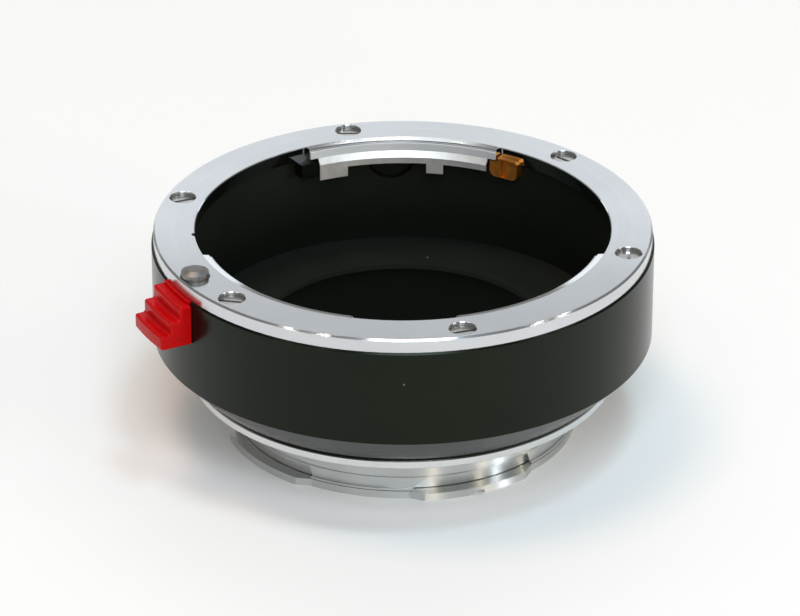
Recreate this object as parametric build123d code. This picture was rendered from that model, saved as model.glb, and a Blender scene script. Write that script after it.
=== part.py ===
import math
import os

from build123d import *

# Lens mount adapter: a black turned barrel between two bright bayonet rings.
# Millimetres, +Z up towards the lens side. The origin is on the optical axis,
# in the plane that the adapter stands on when it rests on its camera-side lugs.

# Register between the two flange faces, and the depth of the camera-side bayonet
flange_distance = 19.2
bayonet_depth = 6.55

# Lens-side bayonet ring
lens_throat_radius = 25.0
lens_ring_width = 5.0
lens_ring_thickness = 1.65
lens_ring_edge_chamfer = 0.22
lens_throat_chamfer = 0.1
lens_lug_reach = 1.0
lens_lug_span = 57.0
lens_lug_angles = {"back": 90.0, "left": 227.5, "right": 313.5}
lens_lug_slope_width = 0.75
lens_lug_slope_drop = 0.15
lens_lug_ledge_width = 0.35
lens_lug_ledge_drop = 0.27
lens_lug_root = 0.2
index_notch_angle = 186.2
index_notch_radius = 0.45

# Slotted screws that hold the lens-side ring
lens_screw_count = 6
lens_screw_first_angle = 44.3
lens_screw_slot_turns = (93.7, 75.7, 39.7, 125.2, 94.6, 105.7)
lens_screw_head_radius = 1.55
lens_screw_rim = 0.2
lens_screw_shank_radius = 0.85
lens_screw_length = 4.5
lens_screw_sink = 0.45
screw_slot_width = 0.42
screw_slot_depth = 0.35

# Leaf springs behind the lens-side lugs
leaf_thickness = 0.25
leaf_seat_clearance = 0.05
leaf_end_margin = 2.5
leaf_foot_margin = 0.25
leaf_shoulder_run = 0.55
leaf_shoulder_drop = 0.78
leaf_band_height = 0.78
leaf_tab_drop = 1.3
leaf_wide_tab_span = 9.0
leaf_narrow_tab = (-12.3, -7.1)
rivet_angle = 16.0
rivet_shank_radius = 0.3
rivet_head_radius = 0.45
rivet_head_height = 0.25
rivet_reach = 0.6

# Brass block that stops the lens at the end of its turn, and the black block that guides it in
stop_block_gap = 0.5
stop_block_span = 9.2
stop_block_reach = 0.8
stop_block_rise = 0.5
stop_block_height = 2.55
stop_block_round = 0.9
stop_block_top_round = 0.45
guide_block_gap = 0.9
guide_block_span = 5.2
guide_block_reach = 1.5
guide_block_height = 1.9
guide_block_chamfer = 0.15
stop_screw_head_radius = 1.15
stop_screw_head_height = 0.5
stop_screw_shank_radius = 0.5
stop_screw_bite = 1.8
stop_screw_slot_width = 0.6
stop_screw_slot_depth = 0.35

# Barrel
barrel_proud = 0.25
barrel_edge_chamfer = 0.2
bore_relief = 0.4
cone_height = 4.14
cone_overhang = 0.32
shadow_gap = 0.54
neck_inset = 0.4
floor_thickness = 3.58
floor_bore_relief = 0.6
spot_face_angle = 93.4
spot_face_radius = 3.05
spot_face_drop = 2.83
spot_face_depth = 0.45

# Light baffle on the barrel floor
baffle_lip = 1.25
baffle_thickness = 0.6
baffle_clearance = 0.05

# Camera-side bayonet ring
camera_throat_radius = 18.6
liner_wall = 0.4
liner_clearance = 0.02
collar_wall = 2.33
collar_clearance = 0.02
flange_width = 4.9
flange_thickness = 1.02
flange_edge_chamfer = 0.12
collar_height = 3.81
collar_line_depth = 0.12
collar_line_width = 0.14
rim_step = 0.27
rim_height = 1.3
lug_step = 0.8
lug_height = 0.95
lug_end_ramp = 4.7
lug_recess_depth = 0.5
lug_recess_land = 0.1
lug_recess_lead_slant = 2.1
lug_recess_stop_slant = 0.5
camera_lug_spans = ((272.2, 316.7), (193.5, 239.2), (95.0, 135.0), (14.0, 54.0))
lock_notch_angle = 294.4
lock_notch_radius = 0.7
spigot_height = 1.2
spigot_inset = 0.93
spigot_clearance = 0.03

# Countersunk screws that hold the camera-side ring
camera_screw_count = 6
camera_screw_first_angle = 14.3
camera_screw_head_radius = 1.25
camera_screw_rim = 0.1
camera_screw_shank_radius = 0.75
camera_screw_length = 3.4
camera_screw_sink = 0.12

# Lock pin, its red grip and its return spring
release_angle = 208.2
release_travel = 1.6
pin_lead = 1.1
pin_offset = 0.18
pin_radius = 1.65
pin_height = 0.95
pin_edge_run = 0.7
pin_edge_drop = 0.35
pin_clearance = 0.06
pin_tail = 2.6
grip_drop = 0.45
grip_width = 7.3
grip_steps = 3
grip_step_height = 1.62
grip_first_reach = 1.45
grip_tread = 1.24
grip_clearance = 0.08
grip_edge_round = 0.3
grip_foot = 0.2
grip_plate_margin = 0.35
grip_plate_inset = 0.05
grip_plate_lap = 0.1
stem_radius = 0.8
stem_drop = 2.0
stem_grip_depth = 1.0
stem_pin_depth = 2.2
stem_clearance = 0.05
press_clearance = 0.01
spring_wire_width = 0.32
spring_coil_radius = 1.15
spring_turns = 6
spring_pocket_floor = 0.5

# Clearances and edges shared by the screws
screw_hole_clearance = 0.04
hole_mouth_chamfer = 0.07
through = 1.0
edge_margin = 0.01

# Levels and radii worked out from the sizes above
camera_face_z = bayonet_depth
lens_face_z = bayonet_depth + flange_distance
barrel_top_z = lens_face_z - lens_ring_thickness
flange_top_z = camera_face_z + flange_thickness
cone_bottom_z = flange_top_z + shadow_gap
cone_top_z = cone_bottom_z + cone_height
floor_top_z = flange_top_z + floor_thickness
collar_line_z = camera_face_z - collar_height
recess_top_z = collar_line_z - collar_line_width / 2 - lug_recess_land

lens_ring_radius = lens_throat_radius + lens_ring_width
barrel_radius = lens_ring_radius + barrel_proud
barrel_bore_radius = lens_throat_radius + bore_relief
wall_centre_radius = (barrel_bore_radius + barrel_radius) / 2
lens_lug_radius = lens_throat_radius - lens_lug_reach
leaf_span = lens_lug_span - 2 * leaf_end_margin
leaf_wide_tab = (leaf_span / 2 - leaf_wide_tab_span, leaf_span / 2)
leaf_seat_depth = leaf_thickness + leaf_seat_clearance
leaf_seat_z = barrel_top_z + leaf_seat_depth
leaf_foot_radius = lens_throat_radius + leaf_foot_margin
rivet_circle_radius = leaf_foot_radius - rivet_head_radius - leaf_seat_clearance
stop_block_start = lens_lug_angles["back"] - leaf_span / 2 - stop_block_gap - stop_block_span
stop_block_top_end = lens_lug_angles["back"] - lens_lug_span / 2 - stop_block_gap
stop_block_top_z = barrel_top_z + stop_block_rise
stop_block_low_z = stop_block_top_z - stop_block_height
guide_block_start = lens_lug_angles["back"] + leaf_span / 2 + guide_block_gap

liner_radius = camera_throat_radius + liner_wall
collar_bore_radius = liner_radius + liner_clearance
collar_radius = camera_throat_radius + collar_wall
rim_radius = collar_radius + rim_step
lug_radius = rim_radius + lug_step
recess_radius = collar_radius - lug_recess_depth
flange_radius = collar_radius + flange_width
neck_radius = flange_radius - neck_inset
cone_radius = flange_radius + cone_overhang
spigot_radius = collar_radius - spigot_inset
floor_bore_radius = camera_throat_radius + floor_bore_relief
camera_screw_circle = (lug_radius + flange_radius) / 2

pin_angle = release_angle + pin_lead
pin_circle_radius = wall_centre_radius + pin_offset
pin_bore_radius = pin_radius + pin_clearance
grip_top_z = barrel_top_z - grip_drop
grip_low_z = grip_top_z - grip_steps * grip_step_height - grip_foot
stem_z = grip_top_z - stem_drop
pin_bottom_z = stem_z - stem_radius - pin_tail
pocket_floor_z = cone_top_z + spring_pocket_floor
grip_inner_radius = barrel_radius + grip_clearance
grip_plate_radius = lens_ring_radius - grip_plate_inset
grip_plate_width = grip_width - 2 * grip_plate_margin
grip_plate_low_z = grip_top_z - grip_step_height
grip_plate_top_z = barrel_top_z - grip_clearance
stem_outer_radius = grip_inner_radius + stem_grip_depth
stem_inner_radius = pin_circle_radius + pin_radius - stem_pin_depth


def turned(points):
    """Full turn of a closed outline of (radius, height) points."""
    return revolve(Plane.XZ * make_face(Polyline(points, close=True)), Axis.Z)


def sector(points, start, span):
    """Part turn of a closed outline, from the start angle through the span."""
    outline = Plane.XZ * make_face(Polyline(points, close=True))
    return Rot(0, 0, start) * revolve(outline, Axis.Z, span)


def ring_sector(inner, outer, low, high, start, span):
    """Part turn of a rectangle between two radii and two heights."""
    return sector(((inner, low), (outer, low), (outer, high), (inner, high)), start, span)


def disc(radius, low, high):
    """Upright cylinder on the optical axis between two heights."""
    return Pos(0, 0, low) * Cylinder(radius, high - low, align=(Align.CENTER, Align.CENTER, Align.MIN))


def upright(radius, low, high, circle_radius, angle):
    """Upright cylinder at a radius and angle from the optical axis."""
    return Rot(0, 0, angle) * Pos(circle_radius, 0, 0) * disc(radius, low, high)


def radial(radius, inner, outer, height, angle):
    """Cylinder that lies along a radius of the adapter."""
    rod = Cylinder(radius, outer - inner, align=(Align.CENTER, Align.CENTER, Align.MIN))
    return Rot(0, 0, angle) * Pos(inner, 0, height) * Rot(0, 90, 0) * rod


def even_angles(first, count):
    """Angles of an even pattern round the axis."""
    return [first + 360.0 * step / count for step in range(count)]


def countersunk(head_radius, rim, shank_radius, length, sink):
    """Screw or its hole at the origin, head up, with the face that it is sunk below at z = 0."""
    cone = head_radius - shank_radius
    outline = (
        (0, -sink),
        (head_radius, -sink),
        (head_radius, -sink - rim),
        (shank_radius, -sink - rim - cone),
        (shank_radius, -length),
        (0, -length),
    )
    return turned(outline)


def slotted(head_radius, rim, shank_radius, length, sink, turn):
    """Countersunk screw with a straight driver slot turned to an angle."""
    screw = countersunk(head_radius, rim, shank_radius, length, sink)
    slot = Box(4 * head_radius, screw_slot_width, 2 * screw_slot_depth)
    return screw - Pos(0, 0, -sink) * Rot(0, 0, turn) * slot


def countersunk_hole(head_radius, rim, shank_radius, length, sink):
    """Clearance for a countersunk screw, open at the face."""
    gap = screw_hole_clearance
    sunk = countersunk(head_radius + gap, rim + gap, shank_radius + gap, length + gap, sink - gap)
    return sunk + open_mouth(head_radius + gap, sink)


def open_mouth(radius, depth):
    """Round hole at the origin, with its edge chamfered at z = 0 and clear above it."""
    flare = radius + hole_mouth_chamfer
    return turned(
        (
            (0, -depth),
            (radius, -depth),
            (radius, -hole_mouth_chamfer),
            (flare, 0),
            (flare, through),
            (0, through),
        )
    )


def lens_screw_places():
    """Places of the lens-side screws, head up on the lens face."""
    angles = even_angles(lens_screw_first_angle, lens_screw_count)
    return [Rot(0, 0, angle) * Pos(wall_centre_radius, 0, lens_face_z) for angle in angles]


def camera_screw_places():
    """Places of the camera-side screws, head down on the camera face."""
    angles = even_angles(camera_screw_first_angle, camera_screw_count)
    flipped = Rot(180, 0, 0)
    return [Rot(0, 0, angle) * Pos(camera_screw_circle, 0, camera_face_z) * flipped for angle in angles]


def rivet_angles():
    """Two rivet angles for each leaf spring."""
    return [centre + side * rivet_angle for centre in lens_lug_angles.values() for side in (-1, 1)]


def lens_hole():
    """Hole for one lens-side screw."""
    return countersunk_hole(
        lens_screw_head_radius, lens_screw_rim, lens_screw_shank_radius, lens_screw_length, lens_screw_sink
    )


def camera_hole():
    """Hole for one camera-side screw."""
    return countersunk_hole(
        camera_screw_head_radius,
        camera_screw_rim,
        camera_screw_shank_radius,
        camera_screw_length,
        camera_screw_sink,
    )


def make_lens_ring():
    """Flat ring with three inward lugs, screw holes, the pin's hole and an index notch."""
    edge = lens_ring_edge_chamfer
    lip = lens_throat_chamfer
    ring = turned(
        (
            (lens_throat_radius, barrel_top_z),
            (lens_ring_radius, barrel_top_z),
            (lens_ring_radius, lens_face_z - edge),
            (lens_ring_radius - edge, lens_face_z),
            (lens_throat_radius + lip, lens_face_z),
            (lens_throat_radius, lens_face_z - lip),
        )
    )
    ledge_radius = lens_lug_radius + lens_lug_ledge_width
    slope_radius = ledge_radius + lens_lug_slope_width
    slope_low_z = lens_face_z - lens_lug_slope_drop
    ledge_z = slope_low_z - lens_lug_ledge_drop
    root_radius = slope_radius + lens_lug_root
    lug_section = (
        (root_radius, lens_face_z),
        (slope_radius, lens_face_z),
        (ledge_radius, slope_low_z),
        (ledge_radius, ledge_z),
        (lens_lug_radius, ledge_z),
        (lens_lug_radius, leaf_seat_z),
        (root_radius, leaf_seat_z),
    )
    seat_outer = leaf_foot_radius + leaf_seat_clearance
    for centre in lens_lug_angles.values():
        start = centre - lens_lug_span / 2
        below = barrel_top_z - through
        above = lens_face_z + through
        ring -= ring_sector(lens_lug_radius, seat_outer, below, leaf_seat_z, start, lens_lug_span)
        ring -= ring_sector(lens_lug_radius, slope_radius, leaf_seat_z, above, start, lens_lug_span)
        ring += sector(lug_section, start, lens_lug_span)
    for place in lens_screw_places():
        ring -= place * lens_hole()
    pin_hole = open_mouth(pin_bore_radius, lens_ring_thickness + through)
    ring -= Rot(0, 0, pin_angle) * Pos(pin_circle_radius, 0, lens_face_z) * pin_hole
    notch_low = barrel_top_z - through
    notch_high = lens_face_z + through
    ring -= upright(index_notch_radius, notch_low, notch_high, lens_throat_radius, index_notch_angle)
    rivet_top = leaf_seat_z + rivet_reach + press_clearance
    for angle in rivet_angles():
        ring -= upright(
            rivet_shank_radius + press_clearance, barrel_top_z, rivet_top, rivet_circle_radius, angle
        )
    return ring


def make_lens_screws():
    """Slotted screws of the lens-side ring, each with its slot at its own angle."""
    return [
        place
        * slotted(
            lens_screw_head_radius,
            lens_screw_rim,
            lens_screw_shank_radius,
            lens_screw_length,
            lens_screw_sink,
            turn,
        )
        for place, turn in zip(lens_screw_places(), lens_screw_slot_turns)
    ]


def make_leaf_spring(centre):
    """Bent leaf under one lug: a foot, a sloped shoulder, an upright band and two tabs."""
    shoulder_radius = lens_lug_radius + leaf_seat_clearance
    band_radius = shoulder_radius - leaf_shoulder_run
    band_top_z = leaf_seat_z - leaf_shoulder_drop
    band_low_z = band_top_z - leaf_band_height
    tab_low_z = band_low_z - leaf_tab_drop
    slope_length = math.hypot(leaf_shoulder_run, leaf_shoulder_drop)
    foot_mitre = leaf_thickness * leaf_shoulder_drop / (slope_length + leaf_shoulder_run)
    band_mitre = leaf_thickness * leaf_shoulder_run / (slope_length + leaf_shoulder_drop)
    band_back_radius = band_radius + leaf_thickness
    outline = (
        (leaf_foot_radius, leaf_seat_z),
        (shoulder_radius, leaf_seat_z),
        (band_radius, band_top_z),
        (band_radius, band_low_z),
        (band_back_radius, band_low_z),
        (band_back_radius, band_top_z - band_mitre),
        (shoulder_radius + foot_mitre, leaf_seat_z - leaf_thickness),
        (leaf_foot_radius, leaf_seat_z - leaf_thickness),
    )
    leaf = sector(outline, centre - leaf_span / 2, leaf_span)
    for tab_start, tab_end in (leaf_wide_tab, leaf_narrow_tab):
        leaf += ring_sector(
            band_radius, band_back_radius, tab_low_z, band_low_z, centre + tab_start, tab_end - tab_start
        )
    for side in (-1, 1):
        leaf -= upright(
            rivet_shank_radius + press_clearance,
            leaf_seat_z - leaf_thickness - through,
            leaf_seat_z + through,
            rivet_circle_radius,
            centre + side * rivet_angle,
        )
    return leaf


def make_rivets():
    """Small rivets that hold the leaf springs up under the lugs."""
    head_top = leaf_seat_z - leaf_thickness
    rivet = disc(rivet_shank_radius, head_top, leaf_seat_z + rivet_reach)
    rivet += disc(rivet_head_radius, head_top - rivet_head_height, head_top)
    return [Rot(0, 0, angle) * Pos(rivet_circle_radius, 0, 0) * rivet for angle in rivet_angles()]


def stop_screw_place():
    """Angle and height of the screw through the stop block."""
    return stop_block_start + stop_block_span / 2, (stop_block_low_z + stop_block_top_z) / 2


def make_stop_block():
    """Brass block against the bore at the end of the back lug, with a top that stands in the throat."""
    inner = lens_throat_radius - stop_block_reach
    outer = barrel_bore_radius - leaf_seat_clearance
    top_outer = lens_throat_radius - leaf_seat_clearance
    low = stop_block_low_z
    high = stop_block_top_z
    block = ring_sector(inner, outer, low, barrel_top_z, stop_block_start, stop_block_span)
    top_span = stop_block_top_end - stop_block_start
    block += ring_sector(inner, top_outer, low, high, stop_block_start, top_span)
    ends = block.edges().filter_by(GeomType.LINE)
    block = fillet(ends.filter_by(lambda edge: edge.center().Z < low + edge_margin), stop_block_round)
    ends = block.edges().filter_by(GeomType.LINE)
    upper_ends = ends.filter_by(lambda edge: edge.center().Z > high - edge_margin)
    block = fillet(upper_ends.sort_by(Axis.X)[-1:], stop_block_top_round)
    angle, height = stop_screw_place()
    gap = screw_hole_clearance
    head_seat = inner + stop_screw_head_height
    block -= radial(stop_screw_head_radius + gap, inner - through, head_seat, height, angle)
    block -= radial(stop_screw_shank_radius + gap, inner - through, outer + through, height, angle)
    return block


def make_guide_block():
    """Black block under the ring, against the bore, at the other end of the back lug."""
    inner = lens_throat_radius - guide_block_reach
    outer = barrel_bore_radius - leaf_seat_clearance
    low = barrel_top_z - guide_block_height
    block = ring_sector(inner, outer, low, barrel_top_z, guide_block_start, guide_block_span)
    lower_edges = block.edges().filter_by(lambda edge: edge.center().Z < low + edge_margin)
    return chamfer(lower_edges, guide_block_chamfer)


def make_stop_screw():
    """Slotted screw that holds the stop block to the barrel wall."""
    inner = lens_throat_radius - stop_block_reach
    angle, height = stop_screw_place()
    head_seat = inner + stop_screw_head_height
    screw = radial(stop_screw_head_radius, inner, head_seat, height, angle)
    screw += radial(stop_screw_shank_radius, head_seat, barrel_bore_radius + stop_screw_bite, height, angle)
    slot = Box(2 * stop_screw_slot_depth, stop_screw_slot_width, 4 * stop_screw_head_radius)
    return screw - Rot(0, 0, angle) * Pos(inner, 0, height) * slot


def plate_band(inner, outer, low, high, width):
    """Curved plate of one width at the release grip, between two radii and two heights."""
    band = disc(outer, low, high) - disc(inner, low - through, high + through)
    strip = Box(2 * outer, width, high - low, align=(Align.MIN, Align.CENTER, Align.MIN))
    return Rot(0, 0, release_angle) * (band & Pos(0, 0, low) * strip)


def make_barrel():
    """Turned barrel with its cone, neck and floor, the pin's bore and the grip's slot."""
    edge = barrel_edge_chamfer
    outline = (
        (floor_bore_radius, flange_top_z),
        (neck_radius, flange_top_z),
        (neck_radius, cone_bottom_z),
        (cone_radius, cone_bottom_z),
        (barrel_radius, cone_top_z),
        (barrel_radius, barrel_top_z - edge),
        (barrel_radius - edge, barrel_top_z),
        (barrel_bore_radius, barrel_top_z),
        (barrel_bore_radius, floor_top_z),
        (floor_bore_radius, floor_top_z),
    )
    barrel = turned(outline)
    spigot_seat = spigot_height + spigot_clearance
    barrel -= disc(spigot_radius + spigot_clearance, flange_top_z - through, flange_top_z + spigot_seat)
    for place in lens_screw_places():
        barrel -= place * lens_hole()
    for place in camera_screw_places():
        barrel -= place * camera_hole()
    barrel -= upright(pin_bore_radius, pocket_floor_z, barrel_top_z + through, pin_circle_radius, pin_angle)
    slot_half = stem_radius + stem_clearance
    slot_high = stem_z
    slot_low = stem_z - release_travel
    slot_outer = barrel_radius + through
    for level in (slot_low, slot_high):
        barrel -= radial(slot_half, wall_centre_radius, slot_outer, level, release_angle)
    slot_run = slot_outer - wall_centre_radius
    slot_box = Box(slot_run, 2 * slot_half, release_travel, align=(Align.MIN, Align.CENTER, Align.MIN))
    barrel -= Rot(0, 0, release_angle) * Pos(wall_centre_radius, 0, slot_low) * slot_box
    barrel -= plate_band(
        grip_plate_radius - grip_clearance,
        slot_outer,
        grip_plate_low_z - release_travel - grip_clearance,
        barrel_top_z + through,
        grip_plate_width + 2 * grip_clearance,
    )
    angle, height = stop_screw_place()
    bite = barrel_bore_radius + stop_screw_bite + screw_hole_clearance
    shank_hole_radius = stop_screw_shank_radius + screw_hole_clearance
    barrel -= radial(shank_hole_radius, lens_throat_radius, bite, height, angle)
    spot_outer = barrel_bore_radius + spot_face_depth
    spot_z = lens_face_z - spot_face_drop
    barrel -= radial(spot_face_radius, lens_lug_radius, spot_outer, spot_z, spot_face_angle)
    return barrel


def make_baffle():
    """Thin black ring on the barrel floor that narrows the light path."""
    outer = barrel_bore_radius - baffle_clearance
    baffle = disc(outer, floor_top_z, floor_top_z + baffle_thickness)
    return baffle - disc(camera_throat_radius - baffle_lip, floor_top_z - through, lens_face_z)


def lug_outline(start, end):
    """Plan of one camera-side lug, with a ramp at each end down to the rim."""

    def at(radius, angle):
        return (radius * math.cos(math.radians(angle)), radius * math.sin(math.radians(angle)))

    middle = (start + end) / 2
    crest_start = start + lug_end_ramp
    crest_end = end - lug_end_ramp
    edges = [
        Line(at(collar_radius, start), at(rim_radius, start)),
        Line(at(rim_radius, start), at(lug_radius, crest_start)),
        ThreePointArc(at(lug_radius, crest_start), at(lug_radius, middle), at(lug_radius, crest_end)),
        Line(at(lug_radius, crest_end), at(rim_radius, end)),
        Line(at(rim_radius, end), at(collar_radius, end)),
        ThreePointArc(at(collar_radius, end), at(collar_radius, middle), at(collar_radius, start)),
    ]
    return make_face(edges)


def lug_recess(start, end):
    """Milled clearance above one lug, with a long slant where the camera's lug runs in."""
    middle = (start + end) / 2
    half_foot = rim_radius * math.sin(math.radians((end - start) / 2))
    outline = Polyline(
        (-half_foot, lug_height),
        (half_foot, lug_height),
        (half_foot - lug_recess_stop_slant, recess_top_z),
        (lug_recess_lead_slant - half_foot, recess_top_z),
        close=True,
    )
    block = extrude(Plane.YZ * make_face(outline), lug_radius + through)
    shell = disc(lug_radius + through, 0, camera_face_z)
    shell -= disc(recess_radius, -through, camera_face_z + through)
    return Rot(0, 0, middle) * (block & shell)


def make_camera_flange():
    """Flange that seats on the camera, round the collar that it holds."""
    edge = flange_edge_chamfer
    bore_radius = collar_radius + collar_clearance
    outline = (
        (bore_radius, camera_face_z),
        (flange_radius - edge, camera_face_z),
        (flange_radius, camera_face_z + edge),
        (flange_radius, flange_top_z - edge),
        (flange_radius - edge, flange_top_z),
        (bore_radius, flange_top_z),
    )
    flange = turned(outline)
    for place in camera_screw_places():
        flange -= place * camera_hole()
    return flange


def make_camera_collar():
    """Collar and four lugs of the camera-side bayonet, with a spigot that centres them in the barrel."""
    line_half = collar_line_width / 2
    groove_radius = collar_radius - collar_line_depth
    spigot_top_z = flange_top_z + spigot_height
    outline = (
        (collar_bore_radius, 0),
        (rim_radius, 0),
        (rim_radius, rim_height),
        (collar_radius, rim_height),
        (collar_radius, collar_line_z - line_half),
        (groove_radius, collar_line_z - line_half),
        (groove_radius, collar_line_z + line_half),
        (collar_radius, collar_line_z + line_half),
        (collar_radius, flange_top_z),
        (spigot_radius, flange_top_z),
        (spigot_radius, spigot_top_z),
        (collar_bore_radius, spigot_top_z),
    )
    collar = turned(outline)
    for start, end in camera_lug_spans:
        collar += extrude(lug_outline(start, end), lug_height)
    for start, end in camera_lug_spans:
        collar -= lug_recess(start, end)
    return collar - upright(lock_notch_radius, -through, lug_height / 2, lug_radius, lock_notch_angle)


def make_throat_liner():
    """Black sleeve that lines the camera throat, from the standing rim up to the baffle."""
    return disc(liner_radius, 0, floor_top_z) - disc(camera_throat_radius, -through, floor_top_z + through)


def make_camera_screws():
    """Slotted countersunk screws of the camera-side ring."""
    screw = slotted(
        camera_screw_head_radius,
        camera_screw_rim,
        camera_screw_shank_radius,
        camera_screw_length,
        camera_screw_sink,
        0,
    )
    return [place * screw for place in camera_screw_places()]


def make_lock_pin():
    """Steel pin with a bevelled top, cross-drilled for the grip's stem."""
    top = lens_face_z + pin_height
    outline = (
        (0, pin_bottom_z),
        (pin_radius, pin_bottom_z),
        (pin_radius, top - pin_edge_drop),
        (pin_radius - pin_edge_run, top),
        (0, top),
    )
    pin = Rot(0, 0, pin_angle) * Pos(pin_circle_radius, 0, 0) * turned(outline)
    hole = radial(
        stem_radius + press_clearance,
        stem_inner_radius - press_clearance,
        pin_circle_radius + pin_radius + through,
        stem_z,
        release_angle,
    )
    return pin - hole


def make_stem():
    """Steel stem between the lock pin and the grip."""
    return radial(stem_radius, stem_inner_radius, stem_outer_radius, stem_z, release_angle)


def make_grip():
    """Red moulded grip: steps that follow the barrel's curve, and a plate that runs in its wall."""
    grip = None
    for step in range(grip_steps):
        reach = barrel_radius + grip_first_reach + step * grip_tread
        high = grip_top_z - step * grip_step_height
        block = disc(reach, grip_low_z, high)
        grip = block if grip is None else grip + block
    side_place = (Align.MIN, Align.CENTER, Align.CENTER)
    sides = Box(2 * lens_ring_radius, grip_width, 4 * lens_face_z, align=side_place)
    grip = (grip & sides) - disc(grip_inner_radius, 0, lens_face_z)
    outer_edges = grip.edges().filter_by(lambda edge: edge.center().X > grip_inner_radius + grip_clearance)
    grip = fillet(outer_edges, grip_edge_round)
    grip = Rot(0, 0, release_angle) * grip
    plate_outer = grip_inner_radius + grip_plate_lap
    grip += plate_band(grip_plate_radius, plate_outer, grip_plate_low_z, grip_plate_top_z, grip_plate_width)
    socket = radial(
        stem_radius + press_clearance,
        grip_inner_radius - through,
        stem_outer_radius + press_clearance,
        stem_z,
        release_angle,
    )
    return grip - socket


def make_return_spring():
    """Coil spring between the pocket floor and the lock pin."""
    rise = pin_bottom_z - pocket_floor_z - spring_wire_width
    path = Helix(rise / spring_turns, rise, spring_coil_radius)
    wire = Plane(origin=path @ 0, z_dir=path % 0) * Rectangle(spring_wire_width, spring_wire_width)
    coil = sweep(wire, path=path, is_frenet=True)
    start_z = pocket_floor_z + spring_wire_width / 2
    return Rot(0, 0, pin_angle) * Pos(pin_circle_radius, 0, start_z) * coil


def write(name, shape):
    """Write one node, as one solid or as a group of separate solids."""
    solids = shape if isinstance(shape, list) else [shape]
    pieces = [solid for item in solids for solid in item.solids()]
    node = pieces[0] if len(pieces) == 1 else Compound(children=pieces)
    export_step(node, os.path.join("parts", name + ".step"))


os.makedirs("parts", exist_ok=True)
write("main_barrel", make_barrel())
write("light_baffle", make_baffle())
write("lens_bayonet_ring", make_lens_ring())
write("lens_ring_screws", make_lens_screws())
for side, centre in lens_lug_angles.items():
    write("lug_spring_" + side, make_leaf_spring(centre))
write("lug_spring_rivets", make_rivets())
write("stop_block", make_stop_block())
write("stop_block_screw", make_stop_screw())
write("guide_block", make_guide_block())
write("camera_flange_ring", make_camera_flange())
write("camera_bayonet_collar", make_camera_collar())
write("throat_liner", make_throat_liner())
write("camera_ring_screws", make_camera_screws())
write("lock_pin", make_lock_pin())
write("grip_stem", make_stem())
write("release_grip", make_grip())
write("return_spring", make_return_spring())
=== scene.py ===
# %% [markdown]
# # A lens mount adapter, dressed for the studio
# The adapter is a short black barrel with a bright bayonet ring at each end.
# A red grip on its side pulls down the steel pin that locks the lens.
# Its solids come ready-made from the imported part, in metres, standing on z = 0,
# so this lesson gives each one its finish and winds a spring for the pin,
# then sets the table, the camera and the lamps.

# %% Load the fixed frame
import math

import bmesh
import bpy
from mathutils import Matrix, Vector


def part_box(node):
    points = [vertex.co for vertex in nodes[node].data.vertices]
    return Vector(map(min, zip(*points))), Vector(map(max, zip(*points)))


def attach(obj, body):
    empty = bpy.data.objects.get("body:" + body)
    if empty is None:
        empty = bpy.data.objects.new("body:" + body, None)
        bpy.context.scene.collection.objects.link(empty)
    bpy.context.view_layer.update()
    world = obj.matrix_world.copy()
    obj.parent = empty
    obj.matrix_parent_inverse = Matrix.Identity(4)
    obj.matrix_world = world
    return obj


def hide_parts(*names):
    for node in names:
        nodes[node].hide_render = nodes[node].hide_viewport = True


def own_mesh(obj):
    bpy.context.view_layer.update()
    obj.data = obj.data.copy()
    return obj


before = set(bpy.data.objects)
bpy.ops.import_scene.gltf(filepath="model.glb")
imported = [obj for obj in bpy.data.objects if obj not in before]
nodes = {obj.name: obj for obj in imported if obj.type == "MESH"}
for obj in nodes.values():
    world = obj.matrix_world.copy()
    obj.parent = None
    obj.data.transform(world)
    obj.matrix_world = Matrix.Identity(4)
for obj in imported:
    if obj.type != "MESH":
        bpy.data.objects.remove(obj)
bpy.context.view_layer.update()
MM = 0.001

# %% [markdown]
# ## A small kit for node materials
# Every finish here starts from one Principled shader.
# It could be wired by hand each time, but the same few moves come back again and again:
# add a node, set its sockets by name, join two sockets, read the place on the surface.
# Four short helpers keep those moves readable, and leave the recipes to speak for themselves.


# %% Helpers that start a finish and add nodes to it
def start_finish(name, colour, metallic, roughness):
    """A new material with its Principled shader set to plain values."""
    material = bpy.data.materials.new(name)
    material.use_nodes = True
    shader = material.node_tree.nodes["Principled BSDF"]
    shader.inputs["Base Color"].default_value = (*colour, 1.0)
    shader.inputs["Metallic"].default_value = metallic
    shader.inputs["Roughness"].default_value = roughness
    return material, shader


def add_node(material, kind, **sockets):
    """A node of one kind, with named input sockets set to values."""
    node = material.node_tree.nodes.new(kind)
    for socket, value in sockets.items():
        node.inputs[socket].default_value = value
    return node


def join(material, source, target):
    """A link from an output socket to an input socket."""
    material.node_tree.links.new(source, target)


def object_place(material):
    """The point on the surface, in the adapter's own frame."""
    return add_node(material, "ShaderNodeTexCoord").outputs["Object"]


print("helpers ready")

# %% [markdown]
# ## Marks of the lathe
# The rings and the barrel were turned, so the fine lines in their surface run round the axis.
# A texture stretched along X or Y would break up where the ring bends away from it.
# A better way reads the distance from the axis and the height, and nothing of the angle:
# a noise of those two numbers is the same all the way round, just as a cutting tool leaves it.


# %% Coordinates that run with the lathe
def calculate(material, operation, first, second):
    """A math node on a socket, and on a second socket or a plain number."""
    node = add_node(material, "ShaderNodeMath")
    node.operation = operation
    join(material, first, node.inputs[0])
    if isinstance(second, float):
        node.inputs[1].default_value = second
    else:
        join(material, second, node.inputs[1])
    return node.outputs[0]


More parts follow.
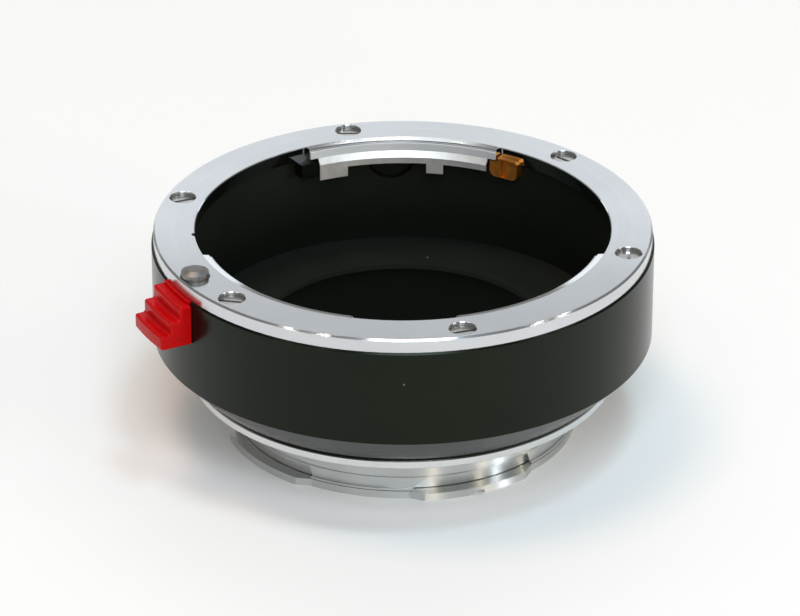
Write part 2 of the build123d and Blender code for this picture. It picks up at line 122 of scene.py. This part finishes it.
def axis_and_height(material):
    """Distance from the optical axis and height above the table, in metres."""
    split = add_node(material, "ShaderNodeSeparateXYZ")
    join(material, object_place(material), split.inputs[0])
    flat = add_node(material, "ShaderNodeCombineXYZ")
    join(material, split.outputs["X"], flat.inputs["X"])
    join(material, split.outputs["Y"], flat.inputs["Y"])
    length = add_node(material, "ShaderNodeVectorMath")
    length.operation = "LENGTH"
    join(material, flat.outputs[0], length.inputs[0])
    return length.outputs["Value"], split.outputs["Z"]


def turned_place(material, lines_per_metre):
    """Distance from the axis and height, scaled, with the angle left out."""
    distance, height = axis_and_height(material)
    place = add_node(material, "ShaderNodeCombineXYZ")
    join(material, calculate(material, "MULTIPLY", distance, lines_per_metre), place.inputs["X"])
    join(material, calculate(material, "MULTIPLY", height, lines_per_metre), place.inputs["Y"])
    return place.outputs[0]


print("lathe coordinates ready")

# %% [markdown]
# ## Patterns that drive a finish
# No real surface has one tone and one gloss, so each finish lets a noise move them a little.
# A painted picture could do that, but it would blur close up and need a map of the surface.
# A noise of the place itself is sharp at any distance.
# It drives the colour through a ramp, the roughness through a range, and fine relief through a bump.

# %% Noise, and the three things that it drives
RAMP_FROM = 0.3
RAMP_TO = 0.7


def noise(material, place, scale, detail, roughness):
    """A noise pattern between 0 and 1 that follows a place."""
    pattern = add_node(material, "ShaderNodeTexNoise", Scale=scale, Detail=detail, Roughness=roughness)
    join(material, place, pattern.inputs["Vector"])
    return pattern.outputs["Fac"]


def vary_colour(material, shader, pattern, dark, light):
    """Base colour that moves between two colours with a pattern."""
    ramp = add_node(material, "ShaderNodeValToRGB")
    start, stop = ramp.color_ramp.elements
    start.position = RAMP_FROM
    start.color = (*dark, 1.0)
    stop.position = RAMP_TO
    stop.color = (*light, 1.0)
    join(material, pattern, ramp.inputs["Fac"])
    join(material, ramp.outputs["Color"], shader.inputs["Base Color"])


def vary_roughness(material, shader, pattern, smooth, rough):
    """Roughness that moves between two values with a pattern."""
    span = add_node(material, "ShaderNodeMapRange")
    span.inputs["To Min"].default_value = smooth
    span.inputs["To Max"].default_value = rough
    join(material, pattern, span.inputs["Value"])
    join(material, span.outputs["Result"], shader.inputs["Roughness"])


def add_bump(material, shader, pattern, strength, depth):
    """A bump from a pattern, on top of any bump already there."""
    bump = add_node(material, "ShaderNodeBump", Strength=strength, Distance=depth)
    join(material, pattern, bump.inputs["Height"])
    earlier = shader.inputs["Normal"].links
    if earlier:
        join(material, earlier[0].from_socket, bump.inputs["Normal"])
    join(material, bump.outputs["Normal"], shader.inputs["Normal"])


print("patterns ready")

# %% [markdown]
# ## Satin chrome
# Both bayonet rings are brass under a satin chrome plate.
# A mirror would show the lamps as hard shapes, so the plate is a little rough,
# and very fine rings from the lathe break each reflection into short streaks.
# A broad cloudy pattern shifts the tone by a hair, as handled metal does.

# %% The recipe for plated metal
CHROME_LINES = 5000.0
QUARTER_TURN = 0.25


def lathe_streaks(material, shader, amount):
    """Gloss that stretches across the turned lines, as a lathe leaves it."""
    tangent = add_node(material, "ShaderNodeTangent")
    tangent.direction_type = "RADIAL"
    tangent.axis = "Z"
    join(material, tangent.outputs["Tangent"], shader.inputs["Tangent"])
    shader.inputs["Anisotropic"].default_value = amount
    shader.inputs["Anisotropic Rotation"].default_value = QUARTER_TURN


def satin_chrome(name, dark, light, smooth, rough, streak):
    """Plated metal with fine turned lines and a faint cloudy tone."""
    material, shader = start_finish(name, light, metallic=1.0, roughness=rough)
    lines = noise(material, turned_place(material, CHROME_LINES), scale=1.0, detail=3.0, roughness=0.7)
    clouds = noise(material, object_place(material), scale=120.0, detail=3.0, roughness=0.55)
    vary_colour(material, shader, clouds, dark, light)
    vary_roughness(material, shader, lines, smooth, rough)
    add_bump(material, shader, lines, strength=0.05, depth=0.02 * MM)
    lathe_streaks(material, shader, streak)
    return material


print("plating ready,", CHROME_LINES * MM, "lines to a millimetre")

# %% Chrome for the two rings
lens_dark = (0.6, 0.62, 0.64)
lens_pale = (0.645, 0.665, 0.685)
camera_dark = (0.64, 0.655, 0.65)
camera_pale = (0.71, 0.725, 0.72)
lens_chrome = satin_chrome(
    "lens_ring_satin_chrome", lens_dark, lens_pale, smooth=0.13, rough=0.23, streak=0.6
)
flange_chrome = satin_chrome(
    "flange_satin_chrome", camera_dark, camera_pale, smooth=0.16, rough=0.24, streak=0.4
)
collar_chrome = satin_chrome(
    "collar_turned_chrome", camera_dark, camera_pale, smooth=0.29, rough=0.37, streak=0.97
)
print("chrome", lens_chrome.name, flange_chrome.name, collar_chrome.name)

# %% [markdown]
# ## Matt lugs and milled recesses
# The three lugs inside the lens ring were bored out and never polished like the flat.
# Their upright walls face into the dark well, so as mirrors they would look black,
# but a matt wall scatters some of the light from overhead towards the camera.
# The slope above each wall was cut last, and is the smoothest part of the ring.
# On the camera side it is the other way round: the recesses above the lugs were milled bright,
# and draw each lamp as a thin upright streak.
# The distance from the axis tells these surfaces from the rest of their ring.


# %% Helpers that change a finish near the axis
def towards_axis(material, start, stop, outside, inside):
    """A number that goes from one value to another between two distances from the axis."""
    distance = axis_and_height(material)[0]
    change = add_node(material, "ShaderNodeMapRange")
    change.inputs["From Min"].default_value = start
    change.inputs["From Max"].default_value = stop
    change.inputs["To Min"].default_value = outside
    change.inputs["To Max"].default_value = inside
    join(material, distance, change.inputs["Value"])
    return change.outputs["Result"]


def scale_roughness(material, share):
    """Roughness as it was, times a share."""
    roughness = material.node_tree.nodes["Principled BSDF"].inputs["Roughness"]
    scaled = calculate(material, "MULTIPLY", roughness.links[0].from_socket, share)
    join(material, scaled, roughness)


print("helpers for walls ready")

# %% Lugs and recesses that differ from the rest of their ring
SLOPE_FROM = 25.12 * MM
SLOPE_TO = 25.06 * MM
SLOPE_ROUGHNESS = 0.4
LUG_WALL_FROM = 24.33 * MM
LUG_WALL_TO = 24.2 * MM
LUG_WALL_ROUGHNESS = 2.8
LUG_WALL_METALLIC = 0.3
RECESS_FROM = 20.8 * MM
RECESS_TO = 20.6 * MM
RECESS_ROUGHNESS = 0.76
lens_shader = lens_chrome.node_tree.nodes["Principled BSDF"]
lug_metallic = towards_axis(lens_chrome, LUG_WALL_FROM, LUG_WALL_TO, 1.0, LUG_WALL_METALLIC)
join(lens_chrome, lug_metallic, lens_shader.inputs["Metallic"])
slope_share = towards_axis(lens_chrome, SLOPE_FROM, SLOPE_TO, 1.0, SLOPE_ROUGHNESS)
scale_roughness(lens_chrome, slope_share)
# The walls lie inside the slope, so their share also takes back that of the slope.
wall_share = towards_axis(
    lens_chrome, LUG_WALL_FROM, LUG_WALL_TO, 1.0, LUG_WALL_ROUGHNESS / SLOPE_ROUGHNESS
)
scale_roughness(lens_chrome, wall_share)
recess_share = towards_axis(collar_chrome, RECESS_FROM, RECESS_TO, 1.0, RECESS_ROUGHNESS)
scale_roughness(collar_chrome, recess_share)
print("lug walls inside", LUG_WALL_TO / MM, "mm, recesses inside", RECESS_TO / MM, "mm")

# %% [markdown]
# ## Painted shade in the corner
# A thin dark line of painted shade runs at the foot of the collar, just above the ledge of its lugs, where
# the step throws its shadow.
# A deeper step in the geometry could cast that shadow, but here the shade is painted into the colour.
# It lies at one height all the way round, so in the material the height alone says where it is.

# %% A line of painted shade just above the ledge
SHADE_LINE_HEIGHT = 1.0 * MM
SHADE_LINE_HALF = 0.045 * MM
shade_line_brown = (0.04, 0.036, 0.03)


def tint(material, share, colour):
    """Base colour that goes over to another colour by a share."""
    base = material.node_tree.nodes["Principled BSDF"].inputs["Base Color"]
    blend = add_node(material, "ShaderNodeMix")
    blend.data_type = "RGBA"
    join(material, share, blend.inputs["Factor"])
    join(material, base.links[0].from_socket, blend.inputs[6])
    blend.inputs[7].default_value = (*colour, 1.0)
    join(material, blend.outputs[2], base)


# Painted shade: the collar's colour goes dark in a thin band at one height, where the ledge's shadow
# falls.
collar_height = axis_and_height(collar_chrome)[1]
off_shade_line = calculate(collar_chrome, "SUBTRACT", collar_height, SHADE_LINE_HEIGHT)
off_shade_line = calculate(collar_chrome, "ABSOLUTE", off_shade_line, 0.0)
on_shade_line = calculate(collar_chrome, "LESS_THAN", off_shade_line, SHADE_LINE_HALF)
tint(collar_chrome, on_shade_line, shade_line_brown)
print("grime line", 2 * SHADE_LINE_HALF / MM, "mm high")

# %% [markdown]
# ## Black anodising
# The barrel is dyed black and has a soft satin sheen.
# The colour alone would look like a hole in the picture, so most of the look is in the gloss:
# weak when seen straight on and strong along the rim, which the shader's Fresnel term gives.
# The dye leaves a trace of green in the sheen.
# A fine grain and faint turned lines keep it from looking like plastic.

# %% The recipe for dyed metal
BARREL_LINES = 6000.0
DYE_SHEEN = (0.83, 1.0, 0.76, 1.0)


def black_anodised(name, dark, light, smooth, rough, gloss):
    """Dyed satin surface with a fine grain."""
    material, shader = start_finish(name, dark, metallic=0.0, roughness=rough)
    shader.inputs["Specular IOR Level"].default_value = gloss
    shader.inputs["Specular Tint"].default_value = DYE_SHEEN
    grain = noise(material, object_place(material), scale=9000.0, detail=2.0, roughness=0.6)
    clouds = noise(material, object_place(material), scale=90.0, detail=4.0, roughness=0.6)
    lines = noise(material, turned_place(material, BARREL_LINES), scale=1.0, detail=2.0, roughness=0.6)
    vary_colour(material, shader, clouds, dark, light)
    vary_roughness(material, shader, clouds, smooth, rough)
    add_bump(material, shader, lines, strength=0.08, depth=0.02 * MM)
    add_bump(material, shader, grain, strength=0.1, depth=0.02 * MM)
    return material


print("dye ready,", BARREL_LINES * MM, "lines to a millimetre")

# %% Black for the barrel and for the pieces inside it
black = (0.0012, 0.0017, 0.001)
grey = (0.0028, 0.0036, 0.0024)
baffle_dark = (0.0065, 0.0074, 0.006)
baffle_pale = (0.009, 0.0102, 0.0084)
barrel_black = black_anodised("barrel_black_anodised", black, grey, smooth=0.18, rough=0.27, gloss=0.22)
baffle_black = black_anodised(
    "baffle_matt_black", baffle_dark, baffle_pale, smooth=0.55, rough=0.7, gloss=0.2
)
liner_black = black_anodised("liner_dead_black", black, grey, smooth=0.6, rough=0.75, gloss=0.12)
guide_black = black_anodised("guide_black_oxide", black, grey, smooth=0.35, rough=0.5, gloss=0.12)
print("black", barrel_black.name, baffle_black.name, liner_black.name, guide_black.name)

# %% [markdown]
# ## A matt bore and a little dust
# Stray light inside a lens mount spoils the picture, so the bore of the barrel is duller than its outside.
# As with the lugs, the distance from the axis tells the two apart.
# Dust shows on anything black: the middles of a few cells of a cell pattern make pale specks,
# with no two the same distance apart.

# %% Bore and specks
BORE_FROM = 25.9 * MM
BORE_TO = 25.7 * MM
BORE_ROUGHNESS = 2.4
bore_grey = (0.0065, 0.008, 0.006)
dust_grey = (0.1, 0.1, 0.09)


def add_dust(material, scale, size, share):
    """Pale specks in the middles of a share of the cells."""
    cells = add_node(material, "ShaderNodeTexVoronoi", Scale=scale)
    join(material, object_place(material), cells.inputs["Vector"])
    middle = calculate(material, "LESS_THAN", cells.outputs["Distance"], size)
    pick = add_node(material, "ShaderNodeSeparateColor")
    join(material, cells.outputs["Color"], pick.inputs["Color"])
    chosen = calculate(material, "LESS_THAN", pick.outputs["Red"], share)
    tint(material, calculate(material, "MULTIPLY", middle, chosen), dust_grey)


tint(barrel_black, towards_axis(barrel_black, BORE_FROM, BORE_TO, 0.0, 1.0), bore_grey)
scale_roughness(barrel_black, towards_axis(barrel_black, BORE_FROM, BORE_TO, 1.0, BORE_ROUGHNESS))
add_dust(barrel_black, scale=300.0, size=0.05, share=0.06)
add_dust(baffle_black, scale=350.0, size=0.06, share=0.1)
print("bore inside", BORE_TO / MM, "mm")

# %% [markdown]
# ## Red moulded plastic
# The grip is a small moulding in strong red.
# One plain red would look like paint, so two noises stand for what a mould leaves:
# broad faces that are a little uneven, which bends the highlight, and a fine texture.

# %% Red for the grip
GRIP_GLOSS = 0.1


def red_moulding(name, dark, light, smooth, rough):
    """Moulded plastic with a soft gloss."""
    material, shader = start_finish(name, light, metallic=0.0, roughness=rough)
    shader.inputs["Specular IOR Level"].default_value = GRIP_GLOSS
    uneven = noise(material, object_place(material), scale=420.0, detail=3.0, roughness=0.5)
    grain = noise(material, object_place(material), scale=7000.0, detail=2.0, roughness=0.5)
    vary_colour(material, shader, uneven, dark, light)
    vary_roughness(material, shader, uneven, smooth, rough)
    add_bump(material, shader, uneven, strength=0.12, depth=0.1 * MM)
    add_bump(material, shader, grain, strength=0.08, depth=0.01 * MM)
    return material


red_dark = (0.46, 0.001, 0.002)
red_light = (0.54, 0.0018, 0.0036)
grip_red = red_moulding("grip_red_moulding", red_dark, red_light, smooth=0.2, rough=0.32)
print("red", grip_red.name)

# %% [markdown]
# ## Small metal fittings
# The pin, screws and leaves are bare steel, and the stop is brass.
# They are small in the picture, so one recipe serves them all:
# a metal whose tone and gloss wander a little, as on parts that were tumbled rather than polished.


# %% The recipe for bare metal
def bare_metal(name, dark, light, smooth, rough):
    """Small unplated fitting with a wandering tone."""
    material, shader = start_finish(name, light, metallic=1.0, roughness=rough)
    tone = noise(material, object_place(material), scale=900.0, detail=4.0, roughness=0.6)
    fine = noise(material, object_place(material), scale=6000.0, detail=2.0, roughness=0.6)
    vary_colour(material, shader, tone, dark, light)
    vary_roughness(material, shader, tone, smooth, rough)
    add_bump(material, shader, fine, strength=0.1, depth=0.01 * MM)
    return material


print("bare metal ready")

# %% Steel and brass
screw_dark = (0.48, 0.475, 0.465)
screw_light = (0.58, 0.575, 0.565)
pin_dark = (0.21, 0.205, 0.2)
pin_light = (0.26, 0.255, 0.245)
leaf_dark = (0.7, 0.7, 0.69)
leaf_light = (0.8, 0.8, 0.79)
brass_dark = (0.68, 0.24, 0.035)
brass_light = (0.86, 0.38, 0.07)
screw_steel = bare_metal("screw_bright_steel", screw_dark, screw_light, smooth=0.2, rough=0.3)
pin_steel = bare_metal("pin_ground_steel", pin_dark, pin_light, smooth=0.38, rough=0.46)
leaf_steel = bare_metal("leaf_rolled_steel", leaf_dark, leaf_light, smooth=0.42, rough=0.54)
stop_brass = bare_metal("stop_turned_brass", brass_dark, brass_light, smooth=0.35, rough=0.5)
print("metals", screw_steel.name, pin_steel.name, leaf_steel.name, stop_brass.name)

# %% [markdown]
# ## Dress every solid
# Each solid arrives with one material slot, and giving it a finish is one assignment.
# A table of piece to finish keeps the choice in one place.
# Only the return spring is missing from it, because the next step makes another one.

# %% Give each solid its finish
finish_of = {
    "main_barrel": barrel_black,
    "light_baffle": baffle_black,
    "lens_bayonet_ring": lens_chrome,
    "lens_ring_screws": screw_steel,
    "lug_spring_back": leaf_steel,
    "lug_spring_left": leaf_steel,
    "lug_spring_right": leaf_steel,
    "lug_spring_rivets": screw_steel,
    "stop_block": stop_brass,
    "stop_block_screw": stop_brass,
    "guide_block": guide_black,
    "camera_flange_ring": flange_chrome,
    "camera_bayonet_collar": collar_chrome,
    "throat_liner": liner_black,
    "camera_ring_screws": screw_steel,
    "lock_pin": pin_steel,
    "grip_stem": pin_steel,
    "release_grip": grip_red,
}
for node_name, finish in finish_of.items():
    nodes[node_name].material_slots[0].material = finish
print("dressed", len(finish_of), "of", len(nodes))

# %% [markdown]
# ## The spring under the pin
# A small coil spring in the bore pushes the pin and the grip up again.
# Its imported solid is stiff, and a coil of round wire takes its place.
# Its end turns lie close together, as they do on any spring that is pressed from both ends.

# %% Where the coil stands
WIRE_RADIUS = 0.15 * MM
COIL_RADIUS = 1.15 * MM
SEAT_GAP = 0.02 * MM
CLOSED_PITCH = 2.2 * WIRE_RADIUS
spring_low, spring_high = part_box("return_spring")
spring_height = spring_high.z - spring_low.z
spring_axis = Vector(((spring_low.x + spring_high.x) / 2, (spring_low.y + spring_high.y) / 2, 0.0))
open_rise = spring_height - 2 * SEAT_GAP - 2 * WIRE_RADIUS - 2 * CLOSED_PITCH
wire_start = spring_axis + Vector((COIL_RADIUS, 0.0, spring_low.z + SEAT_GAP + WIRE_RADIUS))
print("spring", round(spring_height / MM, 2), "mm high, open part", round(open_rise / MM, 2), "mm")

# %% [markdown]
# ## Winding the wire
# A curve with a round bevel could draw the coil too.
# Spinning a circle round the axis, with a little rise at each step, gives clean rings of faces at once.
# It takes three goes: a closed turn, the open turns, and a closed turn.
# The two ends of the wire are then filled, so that the mesh is a closed solid.

# %% Spin a circle into a coil
WIRE_SIDES = 10
OPEN_TURNS = 4
TURN_STEPS = 36
upright_circle = Matrix.Translation(wire_start) @ Matrix.Rotation(math.pi / 2, 4, "X")
coil_shape = bmesh.new()
bmesh.ops.create_circle(coil_shape, segments=WIRE_SIDES, radius=WIRE_RADIUS, matrix=upright_circle)
wire_end = coil_shape.verts[:] + coil_shape.edges[:]
for turns, rise in ((1, CLOSED_PITCH), (OPEN_TURNS, open_rise), (1, CLOSED_PITCH)):
    spun = bmesh.ops.spin(
        coil_shape,
        geom=wire_end,
        cent=spring_axis,
        axis=(0.0, 0.0, 1.0),
        angle=turns * 2 * math.pi,
        steps=turns * TURN_STEPS,
        dvec=(0.0, 0.0, rise / (turns * TURN_STEPS)),
    )
    wire_end = spun["geom_last"]
bmesh.ops.holes_fill(coil_shape, edges=coil_shape.edges, sides=WIRE_SIDES)
bmesh.ops.recalc_face_normals(coil_shape, faces=coil_shape.faces)
for face in coil_shape.faces:
    face.smooth = len(face.verts) < WIRE_SIDES
print("coil", len(coil_shape.faces), "faces")

# %% [markdown]
# ## The coil in the stiff spring's place
# The coil stays with the body, and its foot stays where it is.
# The stiff spring is hidden, and the coil keeps a mesh of its own.

# %% Put the coil in the stiff spring's place
coil_mesh = bpy.data.meshes.new("return_coil")
coil_shape.to_mesh(coil_mesh)
coil_shape.free()
coil_mesh.materials.append(leaf_steel)
return_coil = bpy.data.objects.new("return_coil", coil_mesh)
bpy.context.scene.collection.objects.link(return_coil)
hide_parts("return_spring")
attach(return_coil, "adapter_body")
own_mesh(return_coil)

# %% [markdown]
# ## The table
# The adapter stands on a white table, which is pale enough to serve as the background too.
# A curved backdrop would do the same, but seen from above, a table this wide fills the picture,
# and it keeps the soft shadows that tell the eye the part stands on something.

# %% A pale table
TABLE_HALF = 3.0
TABLE_GLOSS = 0.1
table_mesh = bpy.data.meshes.new("table")
table_shape = bmesh.new()
bmesh.ops.create_grid(table_shape, x_segments=1, y_segments=1, size=TABLE_HALF)
table_shape.to_mesh(table_mesh)
table_shape.free()
table = bpy.data.objects.new("table", table_mesh)
bpy.context.scene.collection.objects.link(table)
table_white, table_shader = start_finish("table_white", (0.95, 0.945, 0.94), metallic=0.0, roughness=0.6)
table_shader.inputs["Specular IOR Level"].default_value = TABLE_GLOSS
table_mesh.materials.append(table_white)
print("table", 2 * TABLE_HALF, "m wide")

# %% [markdown]
# ## The camera
# The photograph was taken from a little above with a long lens.
# The camera stands at the distance and height that the two rings' ellipses give,
# and aims at a point on the axis inside the barrel.

# %% Camera at the photograph's angle
SENSOR_WIDTH = 36.0
FOCAL_LENGTH = 202.5
CAMERA_DISTANCE = 0.5459
CAMERA_ELEVATION = math.radians(27.149)
CAMERA_ROLL = math.radians(0.07)
camera_aim = Vector((-0.00034, 0.0, 0.01451))
camera_data = bpy.data.cameras.new("photo_camera")
camera_data.sensor_fit = "HORIZONTAL"
camera_data.sensor_width = SENSOR_WIDTH
camera_data.lens = FOCAL_LENGTH
camera = bpy.data.objects.new("photo_camera", camera_data)
view_line = Vector((0.0, math.cos(CAMERA_ELEVATION), -math.sin(CAMERA_ELEVATION)))
camera_place = Matrix.Translation(camera_aim - CAMERA_DISTANCE * view_line)
aimed = view_line.to_track_quat("-Z", "Y").to_matrix().to_4x4()
camera.matrix_world = camera_place @ aimed @ Matrix.Rotation(CAMERA_ROLL, 4, "Z")
bpy.context.scene.collection.objects.link(camera)
bpy.context.scene.camera = camera
bpy.context.scene.view_settings.view_transform = "Standard"
print("camera at", [round(value, 4) for value in camera.location])

# %% [markdown]
# ## A pale room
# Bright metal shows what stands round it, so the room matters as much as the lamps.
# A dim, slightly warm world fills every reflection that meets no lamp.
# It stays weak, or it would wash out the shadows.

# %% World
ROOM_GLOW = 0.266
world = bpy.data.worlds.new("pale_room")
world.use_nodes = True
background = world.node_tree.nodes["Background"]
background.inputs["Color"].default_value = (1.0, 0.985, 0.955, 1.0)
background.inputs["Strength"].default_value = ROOM_GLOW
bpy.context.scene.world = world
print("room glows at", ROOM_GLOW)

# %% [markdown]
# ## Lamps overhead and panels
# A cool lamp high on the right and a warm one high on the left throw short shadows,
# each filled with the other's tint.
# The low panel behind is what the flat of the lens ring mirrors,
# and the panels in front and above are what its sloped edges mirror.
# A lamp's power is worked out from its size and from how bright its face should look,
# so a lamp can be made wider without changing what the metal shows.

# %% Two lamps and three panels
lamp_aim = Vector((0.0, 0.0, 0.012))
cool = (0.56, 0.845, 1.0)
pale_blue = (0.84, 0.925, 1.0)
cool_white = (0.91, 0.955, 1.0)
white = (0.98, 1.0, 0.99)
warm = (1.0, 0.69, 0.5)


def soft_panel(name, place, wide, high, glow, colour):
    """A rectangular area lamp that looks at the adapter, as bright as its glow says."""
    lamp = bpy.data.lights.new(name, "AREA")
    lamp.shape = "RECTANGLE"
    lamp.size = wide
    lamp.size_y = high
    lamp.energy = glow * math.pi * wide * high
    lamp.color = colour
    holder = bpy.data.objects.new(name, lamp)
    holder.location = place
    holder.rotation_mode = "QUATERNION"
    holder.rotation_quaternion = (lamp_aim - Vector(place)).to_track_quat("-Z", "Y")
    bpy.context.scene.collection.objects.link(holder)


soft_panel("cool_lamp", (0.32, -0.16, 1.62), wide=0.3, high=0.3, glow=17.2, colour=cool)
soft_panel("warm_lamp", (-0.42, 0.17, 1.58), wide=0.5, high=0.5, glow=7.7, colour=warm)
soft_panel("front_panel", (0.1, -1.04, 1.3), wide=0.75, high=0.9, glow=6.1, colour=pale_blue)
soft_panel("back_slant_panel", (0.0, 1.0, 1.24), wide=1.8, high=0.26, glow=1.3, colour=white)
soft_panel("back_low_panel", (0.0, 1.78, 0.667), wide=3.2, high=0.5, glow=1.11, colour=cool_white)
print("lamps and panels", len(bpy.data.lights))

# %% [markdown]
# ## Strips for the milled recess
# The recess above the right-hand lug mirrors the low part of the room.
# Narrow lamps that stand there draw the bright upright streaks in it,
# and a broad dim one on the left lifts the other side of the collar.

# %% Low strips round the right
STRIP_REACH = 1.44
STRIP_HEIGHT = 0.24
STRIP_LENGTH = 0.36
amber = (1.0, 0.86, 0.62)


def strip_lamp(name, bearing, wide, glow, colour):
    """An upright lamp low in the room, on a bearing from the front towards the right."""
    turn = math.radians(bearing)
    place = (STRIP_REACH * math.sin(turn), -STRIP_REACH * math.cos(turn), STRIP_HEIGHT)
    soft_panel(name, place, wide, STRIP_LENGTH, glow, colour)


strip_lamp("strip_front", bearing=19.0, wide=0.03, glow=50.0, colour=amber)
strip_lamp("strip_right_front", bearing=51.0, wide=0.03, glow=50.0, colour=amber)
strip_lamp("strip_right", bearing=63.0, wide=0.05, glow=80.0, colour=cool_white)
strip_lamp("strip_far_right", bearing=84.0, wide=0.03, glow=50.0, colour=amber)
strip_lamp("strip_left_front", bearing=-25.0, wide=0.6, glow=1.0, colour=cool_white)
print("with strips", len(bpy.data.lights))

# %% [markdown]
# ## Sparks on the edges
# Small ceiling lamps leave sparks on the rim and glints on the slope of the back lug.
# Hunting for the places of such lamps by eye takes long, and the law of the mirror gives them at once:
# the line of sight, reflected in the edge where a spark should be, points at the lamp.

# %% Small lamps placed by the mirror's law
SPARK_REACH = 1.6
SPARK_SIZE = 0.05
SPARK_GLOW = 30.0
GLINT_SIZE = 0.02
GLINT_GLOW = 45.0
RIM_FACING = math.radians(45.0)
LUG_FACING = math.radians(78.7)
warm_white = (1.0, 0.95, 0.89)


def spark_lamp(name, bearing, facing, size, glow):
    """A small lamp that an edge mirrors to the camera, where it faces a bearing and so far up."""
    turn = math.radians(bearing)
    level = math.cos(facing)
    normal = Vector((math.sin(turn) * level, -math.cos(turn) * level, math.sin(facing)))
    soft_panel(name, SPARK_REACH * view_line.reflect(normal), size, size, glow, warm_white)


for side, bearing in (("far_left", -26.5), ("left", -18.0), ("right", 32.0), ("far_right", 39.0)):
    spark_lamp("spark_" + side, bearing, RIM_FACING, SPARK_SIZE, SPARK_GLOW)
for side, bearing in (("left", 14.3), ("mid_left", 6.5), ("mid", 0.0), ("right", -14.9)):
    spark_lamp("glint_" + side, bearing, LUG_FACING, GLINT_SIZE, GLINT_GLOW)
print("all lamps", len(bpy.data.lights))
